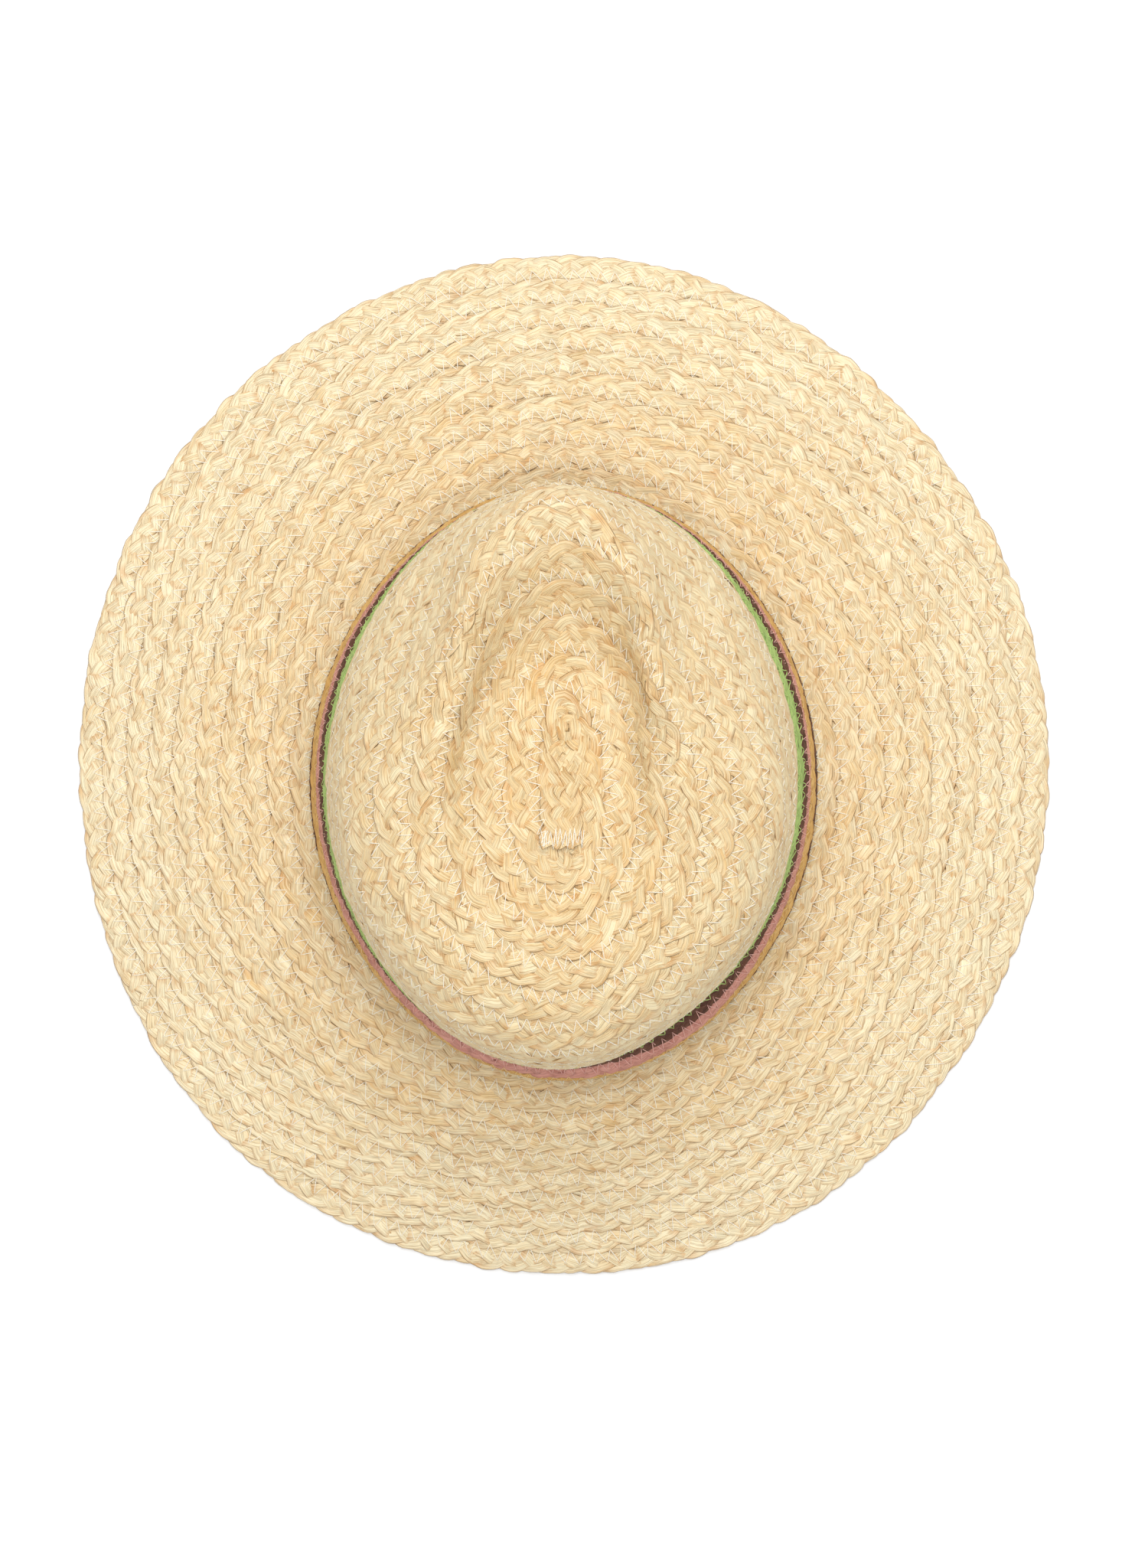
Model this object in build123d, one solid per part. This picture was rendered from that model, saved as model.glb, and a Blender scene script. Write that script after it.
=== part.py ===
from build123d import *
import math
import os

# A wide-brimmed straw hat, sewn round by round from flat plait. Millimetres, +Z up.
# The front of the hat faces -Y and the brim rests on z = 0.
# "Turn" is the angle round the crown in degrees: 0 front, 90 towards -X, 180 back, 270 towards +X.
# "Station" counts sewn rounds from the middle of the tip out to the edge of the brim.

# ---- driving dimensions -------------------------------------------------------------------------
BRIM_HALF_X = 176.2
BRIM_HALF_Y = 184.8
BASE_HALF_X = 91.0
BASE_HALF_Y = 106.0
BASE_SHIFT_Y = 6.3
BASE_HEIGHT = 13.0
BAND_TOP_HEIGHT = 54.0
TIP_LINE_HALF = 20.0
TIP_LINE_SHIFT_Y = 1.5
BASE_POINTING = 0.06

PLAIT_THICKNESS = 2.2
SEAM_GAP = 0.04
EDGE_DROP = 0.7
BRIM_FALL_POWER = 1.7
BRIM_WAVE = 1.4
BRIM_TIP_SQUEEZE = 2.4

CROWN_ROUNDS = 11
BRIM_ROUNDS = 10
SECTIONS_PER_HALF = 20

RIBBON_THICKNESS = 0.9
RIBBON_STATIONS = [12.55, 13, 14, 15, 15.6]
RIBBON_FACE = -PLAIT_THICKNESS / 2 - 0.5
LAYER_CLEARANCE = 0.15
JOIN_WIDTH = 12.0
JOIN_THICKNESS = 0.6
LABEL_WIDTH = 22.0
LABEL_STATIONS = [12.7, 13, 14, 14.4]
LABEL_THICKNESS = 0.5

# ---- the blocked crown --------------------------------------------------------------------------
# One line for each turn: the turn, then three points of the crown's profile there, each as
# (share of the way from the tip line to the side wall, height): the foot of the dent, the ridge
# of the teardrop, and the shoulder.
CROWN_PROFILE = [
    (0, (0.38, 101), (0.80, 114), (0.955, 106)),
    (24, (0.36, 100), (0.69, 117), (0.84, 98)),
    (40, (0.37, 99), (0.54, 116), (0.77, 92)),
    (56, (0.35, 100), (0.46, 115), (0.77, 94)),
    (74, (0.31, 101), (0.43, 113), (0.80, 99)),
    (95, (0.29, 103), (0.48, 112), (0.86, 102)),
    (135, (0.30, 107), (0.62, 111), (0.90, 101)),
    (180, (0.30, 109), (0.62, 110), (0.90, 99)),
    (225, (0.30, 107), (0.62, 111), (0.90, 101)),
    (265, (0.33, 103), (0.57, 113), (0.87, 101)),
    (288, (0.35, 101), (0.55, 115), (0.82, 96)),
    (304, (0.36, 100), (0.57, 116), (0.80, 92)),
    (320, (0.37, 99), (0.63, 117), (0.82, 92)),
    (338, (0.37, 100), (0.75, 117), (0.90, 99)),
]
TIP_HEIGHT = 102.5
TIP_TILT = 3.0
WALL_BULGE = 1.0
WALL_BULGE_HEIGHT = 76

# How far each coloured round of the side leans inward, top round first, every 30 degrees of turn.
BAND_LEAN = {
    "band_green": [0.3, 0.4, 2.3, 2.3, 1.2, 0.7, 0.2, 0.3, 1.2, 1.5, 1.5, 0.3],
    "band_dark_brown": [0.8, 1.3, 2.3, 2.0, 2.2, 4.7, 0.9, 1.0, 1.5, 2.1, 2.3, 0.9],
    "band_pink": [0.6, 0.8, 1.2, 1.4, 2.7, 3.2, 4.3, 3.7, 2.3, 1.4, 1.4, 0.8],
    "band_mustard": [1.0, 1.6, 1.9, 2.3, 2.3, 0.5, 0.4, 0.4, 1.8, 2.5, 1.9, 1.9],
    "band_lower_brown": [0.4, 0.4, 0.8, 1.4, 0.7, 0.4, 0.4, 0.4, 0.4, 0.6, 0.5, 0.4],
}
BAND_ROUNDS = len(BAND_LEAN)
BAND_STATION = CROWN_ROUNDS
BRIM_STATION = BAND_STATION + BAND_ROUNDS
EDGE_STATION = BRIM_STATION + BRIM_ROUNDS


def periodic(turns, values, turn):
    """Smooth closed curve through values given at rising turns, read at one turn."""
    turn %= 360
    count = len(turns)
    i = max(k for k in range(count) if turns[k] <= turn)

    def knot(k):
        return turns[k % count] + 360 * (k // count)

    def slope(k):
        return (values[(k + 1) % count] - values[(k - 1) % count]) / (knot(k + 1) - knot(k - 1))

    span = knot(i + 1) - knot(i)
    t = (turn - knot(i)) / span
    start, end = values[i], values[(i + 1) % count]
    return (
        (2 * t**3 - 3 * t**2 + 1) * start
        + (t**3 - 2 * t**2 + t) * span * slope(i)
        + (3 * t**2 - 2 * t**3) * end
        + (t**3 - t**2) * span * slope(i + 1)
    )


def catmull(points, index, t):
    """Point at fraction t of the stretch after points[index]; the ends are extended straight."""
    last = len(points) - 1

    def at(k):
        if k < 0:
            return tuple(2 * a - b for a, b in zip(points[0], points[-k]))
        if k > last:
            return tuple(2 * a - b for a, b in zip(points[last], points[2 * last - k]))
        return points[k]

    p0, p1, p2, p3 = (at(index + k) for k in (-1, 0, 1, 2))
    return tuple(
        0.5 * (2 * b + (c - a) * t + (2 * a - 5 * b + 4 * c - d) * t**2 + (3 * b - a - 3 * c + d) * t**3)
        for a, b, c, d in zip(p0, p1, p2, p3)
    )


def band_lean(turn):
    """The inward lean of each coloured round at one turn, top round first."""
    steps = [30 * k for k in range(12)]
    return [periodic(steps, leans, turn) for leans in BAND_LEAN.values()]


def wall_point(turn, inset, height):
    """A point of the side wall, inset from the oval at the foot of the crown."""
    angle = math.radians(turn)
    narrowing = 1 - BASE_POINTING * math.cos(angle) ** 2
    x = -(BASE_HALF_X - inset) * math.sin(angle) * narrowing
    y = BASE_SHIFT_Y - (BASE_HALF_Y - inset) * math.cos(angle)
    return (x, y, height)


def crown_profile(turn):
    """The crown's profile at one turn, from the tip line to the top of the coloured band."""
    turns = [row[0] for row in CROWN_PROFILE]
    angle = math.radians(turn)
    across, along = math.sin(angle), math.cos(angle)
    foot_x, foot_y, _ = wall_point(turn, sum(band_lean(turn)), BAND_TOP_HEIGHT)
    tip_y = BASE_SHIFT_Y + TIP_LINE_SHIFT_Y - TIP_LINE_HALF * along
    tip_height = TIP_HEIGHT - TIP_TILT * along

    def place(share, height):
        return (foot_x * share, tip_y + (foot_y - tip_y) * share, height)

    points = []
    for column in (1, 2, 3):
        share = periodic(turns, [row[column][0] for row in CROWN_PROFILE], turn)
        height = periodic(turns, [row[column][1] for row in CROWN_PROFILE], turn)
        points.append((share, height))
    bulge = 1 + WALL_BULGE / math.hypot(BASE_HALF_X * across, BASE_HALF_Y * along)
    wall_share = (points[-1][0] + 2 * bulge) / 3
    foot_share, foot_height = points[0]
    near_tip = place(foot_share / 2, tip_height + (foot_height - tip_height) * 0.3)
    return [
        place(0, tip_height),
        near_tip,
        *(place(*point) for point in points),
        place(wall_share, WALL_BULGE_HEIGHT),
        place(1, BAND_TOP_HEIGHT),
    ]


def spaced(points, count, steps=12):
    """count + 1 points at even distances along the smooth curve through the given points."""
    line = [catmull(points, i, k / steps) for i in range(len(points) - 1) for k in range(steps)]
    line.append(points[-1])
    reach = [0.0]
    for a, b in zip(line, line[1:]):
        reach.append(reach[-1] + math.dist(a, b))
    out = []
    j = 0
    for k in range(count + 1):
        want = reach[-1] * k / count
        while j < len(line) - 2 and reach[j + 1] < want:
            j += 1
        t = (want - reach[j]) / (reach[j + 1] - reach[j])
        out.append(tuple(a + (b - a) * t for a, b in zip(line[j], line[j + 1])))
    return out


def brim_point(turn, share):
    """A point of the brim: share 0 at the crown, 1 at the edge."""
    angle = math.radians(turn)
    inner_x, inner_y, _ = wall_point(turn, 0, 0)
    squeeze = BRIM_TIP_SQUEEZE * math.cos(angle - math.radians(40)) * math.sin(2 * angle) ** 2
    outer_x = -(BRIM_HALF_X - squeeze) * math.sin(angle)
    outer_y = -(BRIM_HALF_Y - squeeze) * math.cos(angle)
    wave = BRIM_WAVE * math.sin(3 * angle + 0.7) * math.sin(math.pi * share)
    height = EDGE_DROP + (BASE_HEIGHT - EDGE_DROP) * (1 - share**BRIM_FALL_POWER) + wave
    return (inner_x + (outer_x - inner_x) * share, inner_y + (outer_y - inner_y) * share, height)


def meridian(turn, cache={}):
    """The round edges at one turn, from the tip line to the edge of the brim."""
    key = round(turn % 360, 4)
    if key not in cache:
        leans = band_lean(turn)
        points = spaced(crown_profile(turn), CROWN_ROUNDS)
        rise = (BAND_TOP_HEIGHT - BASE_HEIGHT) / BAND_ROUNDS
        for k in range(1, BAND_ROUNDS):
            points.append(wall_point(turn, sum(leans[k:]), BAND_TOP_HEIGHT - k * rise))
        points += [brim_point(turn, k / BRIM_ROUNDS) for k in range(BRIM_ROUNDS + 1)]
        cache[key] = points
    return cache[key]


def surface(turn, station):
    """A point on the middle of the straw."""
    points = meridian(turn)
    index = min(int(station), len(points) - 2)
    return Vector(*catmull(points, index, station - index))


def normal(turn, station):
    """The outward normal of the straw."""
    low, high = max(station - 0.08, 0), min(station + 0.08, EDGE_STATION)
    down = surface(turn, high) - surface(turn, low)
    round_it = surface(turn + 1.5, station) - surface(turn - 1.5, station)
    return round_it.cross(down).normalized()


def lifted(turn, station, lift):
    """A point at a distance outward from the middle of the straw."""
    return surface(turn, station) + normal(turn, station) * lift


def strip(stations, low, high, first, last, sections):
    """A closed solid between two lifts, over a stretch of turns."""
    wires = []
    for k in range(sections + 1):
        turn = first + (last - first) * k / sections
        under = [lifted(turn, s, low) for s in stations]
        over = [lifted(turn, s, high) for s in reversed(stations)]
        wires.append(Wire.make_polygon(under + over, close=True))
    return Solid.make_loft(wires, ruled=True)


def ring(stations, low, high):
    """A closed round: two half rounds joined at the front and the back."""
    front = strip(stations, low, high, -90, 90, SECTIONS_PER_HALF)
    back = strip(stations, low, high, 90, 270, SECTIONS_PER_HALF)
    return front.fuse(back)


def tip_start(points=40):
    """The folded start of the plait: a thin oblong plate at the middle of the tip."""
    half = PLAIT_THICKNESS / 2
    turns = [360 * k / points for k in range(points)]
    edge = [[lifted(t, 1 - SEAM_GAP / 10, lift) for t in turns] for lift in (-half, half)]
    line = [[surface(t, 0) + Vector(0, 0, lift) for t in turns] for lift in (-half, half)]
    faces = []

    def add(*corners):
        if all((c - corners[i - 1]).length > 1e-6 for i, c in enumerate(corners)):
            faces.append(Face(Wire.make_polygon(corners, close=True)))

    for k in range(points):
        n = (k + 1) % points
        add(line[0][k], edge[0][k], edge[0][n])
        add(line[0][k], edge[0][n], line[0][n])
        add(line[1][k], edge[1][n], edge[1][k])
        add(line[1][k], line[1][n], edge[1][n])
        add(edge[0][k], edge[1][n], edge[0][n])
        add(edge[0][k], edge[1][k], edge[1][n])
    return Solid(Shell(faces))


def round_of_plait(first):
    """One sewn round between two stations, with a hair's gap to its neighbours."""
    half = PLAIT_THICKNESS / 2
    gap = SEAM_GAP / 10
    return ring([first + gap, first + 1 - gap], -half, half)


def edge_round():
    """The outermost round, flat underneath where the hat rests."""
    rest = Box(600, 600, 40, align=(Align.CENTER, Align.CENTER, Align.MIN))
    return (round_of_plait(EDGE_STATION - 1) & rest).solids()[0]


def sweatband():
    """The woven ribbon inside the foot of the crown."""
    return ring(RIBBON_STATIONS, RIBBON_FACE - RIBBON_THICKNESS, RIBBON_FACE)


def at_back(width, stations, high, thickness):
    """A small flat piece sewn to the inside of the sweatband at the back."""
    back = Pos(0, BRIM_HALF_Y, 0) * Box(width, BRIM_HALF_Y, BRIM_HALF_Y)
    return (ring(stations, high - thickness, high) & back).solids()[0]


def build():
    """Every node of the hat by name."""
    nodes = {"tip_start": tip_start()}
    for k in range(1, CROWN_ROUNDS):
        nodes[f"crown_round_{k + 1:02d}"] = round_of_plait(k)
    for k, name in enumerate(BAND_LEAN):
        nodes[name] = round_of_plait(BAND_STATION + k)
    for k in range(BRIM_ROUNDS - 1):
        nodes[f"brim_round_{k + 1:02d}"] = round_of_plait(BRIM_STATION + k)
    nodes["brim_edge_round"] = edge_round()
    nodes["sweatband"] = sweatband()
    join_face = RIBBON_FACE - RIBBON_THICKNESS - LAYER_CLEARANCE
    nodes["sweatband_join"] = at_back(JOIN_WIDTH, RIBBON_STATIONS, join_face, JOIN_THICKNESS)
    label_face = join_face - JOIN_THICKNESS - 3 * LAYER_CLEARANCE
    nodes["blank_label"] = at_back(LABEL_WIDTH, LABEL_STATIONS, label_face, LABEL_THICKNESS)
    return nodes


os.makedirs("parts", exist_ok=True)
for node_name, shape in build().items():
    export_step(shape, f"parts/{node_name}.step")
    print(node_name, "volume", round(shape.volume), "box", shape.bounding_box().size)
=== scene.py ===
import math

import bpy
import numpy as np
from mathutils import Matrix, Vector
from mathutils.bvhtree import BVHTree


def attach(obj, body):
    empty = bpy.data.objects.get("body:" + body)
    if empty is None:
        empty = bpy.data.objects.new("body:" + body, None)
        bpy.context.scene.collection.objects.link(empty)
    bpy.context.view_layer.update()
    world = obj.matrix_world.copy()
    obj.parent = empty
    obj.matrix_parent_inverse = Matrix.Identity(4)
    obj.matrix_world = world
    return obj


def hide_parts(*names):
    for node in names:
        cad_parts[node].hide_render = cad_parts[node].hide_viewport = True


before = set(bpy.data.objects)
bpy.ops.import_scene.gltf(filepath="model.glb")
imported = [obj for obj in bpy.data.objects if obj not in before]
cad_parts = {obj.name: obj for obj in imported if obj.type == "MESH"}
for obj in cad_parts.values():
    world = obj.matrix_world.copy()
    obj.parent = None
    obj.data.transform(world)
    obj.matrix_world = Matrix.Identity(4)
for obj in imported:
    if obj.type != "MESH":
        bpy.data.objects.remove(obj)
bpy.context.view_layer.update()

# A sewn straw hat: flat five-strand plait, laid round by round from the middle of the tip to the
# edge of the brim, each round tucked under the one before and held with a zigzag seam.
# Lengths are in millimetres until a mesh is made. +Z is up and the front of the hat faces -Y.
# "Turn" is the angle round the crown in degrees: 0 front, 90 towards -X, 180 back, 270 towards +X.
# "Station" counts sewn rounds outward from the middle of the tip.

MM = 0.001
# How far along the fibre pattern one tube of a piece starts after the one before.
TUBE_APART = 700.0

# ---- the hat's form ------------------------------------------------------------------------------
# These are the same as in the CAD frame, except that the edge lies lower, because the woven plait is
# thinner than the plain rounds and has to reach the surface that the hat rests on.
BRIM_HALF_X = 176.2
BRIM_HALF_Y = 184.8
BASE_HALF_X = 91.0
BASE_HALF_Y = 106.0
BASE_SHIFT_Y = 6.3
BASE_HEIGHT = 13.0
BAND_TOP_HEIGHT = 54.0
TIP_LINE_HALF = 20.0
TIP_LINE_SHIFT_Y = 1.5
BASE_POINTING = 0.06
EDGE_DROP = 0.35
BRIM_FALL_POWER = 1.7
BRIM_WAVE = 1.4
BRIM_TIP_SQUEEZE = 2.4
CROWN_ROUNDS = 11
BRIM_ROUNDS = 10

# The blocked crown. One line for each turn: the turn, then the foot of the dent, the ridge of the
# teardrop and the shoulder, each as (share of the way from the tip line to the wall, height).
CROWN_PROFILE = [
    (0, (0.38, 101), (0.80, 114), (0.955, 106)),
    (24, (0.36, 100), (0.69, 117), (0.84, 98)),
    (40, (0.37, 99), (0.54, 116), (0.77, 92)),
    (56, (0.35, 100), (0.46, 115), (0.77, 94)),
    (74, (0.31, 101), (0.43, 113), (0.80, 99)),
    (95, (0.29, 103), (0.48, 112), (0.86, 102)),
    (135, (0.30, 107), (0.62, 111), (0.90, 101)),
    (180, (0.30, 109), (0.62, 110), (0.90, 99)),
    (225, (0.30, 107), (0.62, 111), (0.90, 101)),
    (265, (0.33, 103), (0.57, 113), (0.87, 101)),
    (288, (0.35, 101), (0.55, 115), (0.82, 96)),
    (304, (0.36, 100), (0.57, 116), (0.80, 92)),
    (320, (0.37, 99), (0.63, 117), (0.82, 92)),
    (338, (0.37, 100), (0.75, 117), (0.90, 99)),
]
TIP_HEIGHT = 102.5
TIP_TILT = 3.0
WALL_BULGE = 1.0
WALL_BULGE_HEIGHT = 76

# How far each coloured round of the side leans inward, top round first, every 30 degrees of turn.
BAND_LEAN = {
    "band_green": [0.3, 0.4, 2.3, 2.3, 1.2, 0.7, 0.2, 0.3, 1.2, 1.5, 1.5, 0.3],
    "band_dark_brown": [0.8, 1.3, 2.3, 2.0, 2.2, 4.7, 0.9, 1.0, 1.5, 2.1, 2.3, 0.9],
    "band_pink": [0.6, 0.8, 1.2, 1.4, 2.7, 3.2, 4.3, 3.7, 2.3, 1.4, 1.4, 0.8],
    "band_mustard": [1.0, 1.6, 1.9, 2.3, 2.3, 0.5, 0.4, 0.4, 1.8, 2.5, 1.9, 1.9],
    "band_lower_brown": [0.4, 0.4, 0.8, 1.4, 0.7, 0.4, 0.4, 0.4, 0.4, 0.6, 0.5, 0.4],
}
BAND_ROUNDS = len(BAND_LEAN)
BAND_STATION = CROWN_ROUNDS
BRIM_STATION = BAND_STATION + BAND_ROUNDS
EDGE_STATION = BRIM_STATION + BRIM_ROUNDS

# ---- plait and thread ----------------------------------------------------------------------------
STRANDS = 5
PLAIT_STEP = 1.15
NARROWEST = 0.84

# How each strand strays from an even plait: over what distance, how far, and how far one strand
# differs from the next all along.
STRAYS = {
    "pace": (38, 0.028, 0.0),
    "across": (21, 0.42, 0.0),
    "lift": (17, 0.22, 0.0),
    "roll": (26, 0.19, 0.08),
    "width": (43, 0.22, 0.18),
    "pleat": (29, 0.17, 0.0),
    "leaf_tint": (120, 0.45, 0.45),
    "patch_tint": (22, 0.25, 0.0),
}

# width and strand are the plait's and one strand's widths, repeat the length of one full weave,
# weave the height of over and under, stack how far the plait leans over the next round, pillow how
# much it swells between its seams, least_lap how much it always lies over its neighbour, edge_run
# how long a strand runs along the plait's edge before it turns back, and wild how unevenly it lies.
CROWN_PLAIT = {
    "width": 17.2, "strand": 4.9, "repeat": 38.0, "weave": 0.15, "thick": 0.40, "stack": 0.50, "pillow": 0.1,
    "least_lap": 6.0, "edge_run": 0.0, "wild": 1.0,
}
BAND_PLAIT = {
    "width": 12.8, "strand": 3.8, "repeat": 30.0, "weave": 0.19, "thick": 0.42, "stack": 0.7, "pillow": 0.3,
    "least_lap": 4.2, "edge_run": 0.0, "wild": 0.8,
}
BRIM_PLAIT = {
    "width": 13.8, "strand": 4.4, "repeat": 50.0, "weave": 0.17, "thick": 0.42, "stack": 0.95, "pillow": 0.9,
    "least_lap": 4.8, "edge_run": 0.0, "wild": 0.6,
}
EDGE_PLAIT = {**BRIM_PLAIT, "repeat": 38.0, "edge_run": 0.8}

# The crown's spiral: its turns, the station where it starts, the part of the first turn that is left
# off, the stations that it gains in one turn, and the station where it ends.
SPIRAL_TURNS = 10
SPIRAL_START = 0.6
SPIRAL_CUT = 0.14
SPIRAL_PACE = 1.03
SPIRAL_END = 10.25

# Seams. A stitch is the length of one zigzag and how far it reaches to each side of the edge.
THREAD_RADIUS = 0.19
THREAD_SIDES = 4
CROWN_STITCH = (4.2, 2.5)
BAND_STITCHES = {
    "band_green": (4.6, 2.4),
    "band_dark_brown": (4.0, 2.8),
    "band_pink": (4.0, 5.6),
    "band_mustard": (4.6, 2.4),
    "band_lower_brown": (4.6, 2.4),
}
BRIM_STITCH = (4.9, 2.7)
LEG_PARTS = 4
STEEP_LEG = 0.27
NEEDLE_DEPTH = 0.12
SEEK = 2.8

# The first leg of the plait at the middle of the tip: its place, its length, how high its two ends
# lie on the spiral, and the stitches over its cut end.
START_X = 0.7
START_Y = 28.0
START_RUN = 38.0
START_RISE = 1.0
START_DIP = -0.9
START_STITCHES = 10
START_THREAD = 0.2
GRID_TURNS = 1440

# How deep the straw is in colour: at the tip, low on the crown, on the inner brim and at the edge. The deeper
# tone of the inner brim is painted shade where the crown shades it, and towards the edge the straw is paler.
TIP_TONE = 0.45
WALL_TONE = -0.8
INNER_BRIM_SHADE_TONE = 0.7
OUTER_BRIM_TONE = -0.9

# ---- sweatband -----------------------------------------------------------------------------------
PLAIT_THICKNESS = 2.2
RIBBON_STATIONS = [12.55, 13, 14, 15, 15.6]
RIBBON_FACE = -PLAIT_THICKNESS / 2 - 0.6
RIBBON_THICKNESS = 0.6
RIBBON_INSIDE = RIBBON_FACE - RIBBON_THICKNESS
RIBBON_RIPPLE = 0.15
LAP_THICKNESS = 0.5
TAG_THICKNESS = 0.35

# ---- light and camera ----------------------------------------------------------------------------
WORLD_LIGHT = 0.56
KEY_LIGHT = 18
TOP_LIGHT = 34
CAMERA_HEIGHT = 1.6
CAMERA_X = -3.45
CAMERA_Y = 7.0
VIEW_HEIGHT = 565.2


def periodic(turns, values, at):
    """Smooth closed curve through values given at rising turns, read at many turns."""
    at = np.asarray(at, float) % 360
    turns = np.asarray(turns, float)
    values = np.asarray(values, float)
    count = len(turns)
    i = np.searchsorted(turns, at, side="right") - 1

    def knot(k):
        return turns[k % count] + 360 * (k // count)

    def slope(k):
        return (values[(k + 1) % count] - values[(k - 1) % count]) / (knot(k + 1) - knot(k - 1))

    span = knot(i + 1) - knot(i)
    t = (at - knot(i)) / span
    return (
        (2 * t**3 - 3 * t**2 + 1) * values[i]
        + (t**3 - 2 * t**2 + t) * span * slope(i)
        + (3 * t**2 - 2 * t**3) * values[(i + 1) % count]
        + (t**3 - t**2) * span * slope(i + 1)
    )


def catmull(p0, p1, p2, p3, t):
    """Smooth step from p1 to p2."""
    return 0.5 * (
        2 * p1 + (p2 - p0) * t + (2 * p0 - 5 * p1 + 4 * p2 - p3) * t**2 + (3 * p1 - p0 - 3 * p2 + p3) * t**3
    )


def extended(points):
    """Points along axis 1, with one more at each end in a straight line."""
    first = 2 * points[:, :1] - points[:, 1:2]
    last = 2 * points[:, -1:] - points[:, -2:-1]
    return np.concatenate([first, points, last], axis=1)


def wall_points(turn, inset, height):
    """Points of the side wall, inset from the oval at the foot of the crown."""
    angle = np.radians(turn)
    narrowing = 1 - BASE_POINTING * np.cos(angle) ** 2
    x = -(BASE_HALF_X - inset) * np.sin(angle) * narrowing
    y = BASE_SHIFT_Y - (BASE_HALF_Y - inset) * np.cos(angle)
    return np.stack([x, y, np.broadcast_to(height, x.shape)], axis=-1)


def crown_profiles(turn, leans):
    """The crown's profile points at each turn, from the tip line to the top of the band."""
    rows = [row[0] for row in CROWN_PROFILE]
    angle = np.radians(turn)
    foot = wall_points(turn, sum(leans), BAND_TOP_HEIGHT)
    tip_y = BASE_SHIFT_Y + TIP_LINE_SHIFT_Y - TIP_LINE_HALF * np.cos(angle)
    tip_height = TIP_HEIGHT - TIP_TILT * np.cos(angle)

    def place(share, height):
        share = np.broadcast_to(share, turn.shape)
        height = np.broadcast_to(height, turn.shape)
        return np.stack([foot[:, 0] * share, tip_y + (foot[:, 1] - tip_y) * share, height], axis=-1)

    shares, heights = [], []
    for column in (1, 2, 3):
        shares.append(periodic(rows, [row[column][0] for row in CROWN_PROFILE], turn))
        heights.append(periodic(rows, [row[column][1] for row in CROWN_PROFILE], turn))
    reach = np.hypot(BASE_HALF_X * np.sin(angle), BASE_HALF_Y * np.cos(angle))
    bulge = 1 + WALL_BULGE / reach
    points = [place(0, tip_height), place(shares[0] / 2, tip_height + (heights[0] - tip_height) * 0.3)]
    points += [place(share, height) for share, height in zip(shares, heights)]
    points += [place((shares[-1] + 2 * bulge) / 3, WALL_BULGE_HEIGHT), place(1, BAND_TOP_HEIGHT)]
    return np.stack(points, axis=1)


def spaced(points, count, steps=12):
    """count + 1 points at even distances along the smooth curve through each row of points."""
    p = extended(points)
    line = [
        catmull(p[:, i], p[:, i + 1], p[:, i + 2], p[:, i + 3], k / steps)
        for i in range(points.shape[1] - 1)
        for k in range(steps)
    ]
    line = np.stack(line + [points[:, -1]], axis=1)
    reach = np.cumsum(np.linalg.norm(np.diff(line, axis=1), axis=2), axis=1)
    reach = np.concatenate([np.zeros((len(line), 1)), reach], axis=1)
    out = np.empty((len(line), count + 1, 3))
    for row, (along, path) in enumerate(zip(reach, line)):
        want = np.linspace(0, along[-1], count + 1)
        out[row] = np.stack([np.interp(want, along, path[:, c]) for c in range(3)], axis=-1)
    return out


def brim_points(turn, share):
    """Points of the brim: share 0 at the crown, 1 at the edge."""
    angle = np.radians(turn)
    inner = wall_points(turn, 0, 0)
    squeeze = BRIM_TIP_SQUEEZE * np.cos(angle - math.radians(40)) * np.sin(2 * angle) ** 2
    outer_x = -(BRIM_HALF_X - squeeze) * np.sin(angle)
    outer_y = -(BRIM_HALF_Y - squeeze) * np.cos(angle)
    wave = BRIM_WAVE * np.sin(3 * angle + 0.7) * math.sin(math.pi * share)
    height = EDGE_DROP + (BASE_HEIGHT - EDGE_DROP) * (1 - share**BRIM_FALL_POWER) + wave
    x = inner[:, 0] + (outer_x - inner[:, 0]) * share
    y = inner[:, 1] + (outer_y - inner[:, 1]) * share
    return np.stack([x, y, height], axis=-1)


def round_edges():
    """The edges of the sewn rounds on a fine ring of turns, with one more station at each end."""
    turn = np.arange(GRID_TURNS) * 360 / GRID_TURNS
    steps = [30 * k for k in range(12)]
    leans = [periodic(steps, lean, turn) for lean in BAND_LEAN.values()]
    stations = [spaced(crown_profiles(turn, leans), CROWN_ROUNDS)]
    rise = (BAND_TOP_HEIGHT - BASE_HEIGHT) / BAND_ROUNDS
    for k in range(1, BAND_ROUNDS):
        stations.append(wall_points(turn, sum(leans[k:]), BAND_TOP_HEIGHT - k * rise)[:, None])
    for k in range(BRIM_ROUNDS + 1):
        stations.append(brim_points(turn, k / BRIM_ROUNDS)[:, None])
    return extended(np.concatenate(stations, axis=1))


ROUND_EDGES = round_edges()


def straw(turn, station):
    """Points on the middle of the straw."""
    turn, station = np.broadcast_arrays(np.asarray(turn, float), np.asarray(station, float))
    cell = (turn % 360) * GRID_TURNS / 360
    i = cell.astype(int)
    part = (cell - i)[..., None]
    i %= GRID_TURNS
    n = (i + 1) % GRID_TURNS
    k = np.clip(np.floor(station).astype(int), 0, EDGE_STATION - 1)
    t = (station - k)[..., None]
    columns = [ROUND_EDGES[i, k + c] * (1 - part) + ROUND_EDGES[n, k + c] * part for c in range(4)]
    return catmull(*columns, t)


def unit(vectors):
    return vectors / np.maximum(np.linalg.norm(vectors, axis=-1, keepdims=True), 1e-9)


def outward(turn, station):
    """Unit normals of the straw, away from the head."""
    down = straw(turn, station + 0.08) - straw(turn, station - 0.08)
    round_it = straw(turn + 1.5, station) - straw(turn - 1.5, station)
    return unit(np.cross(round_it, down))


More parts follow.
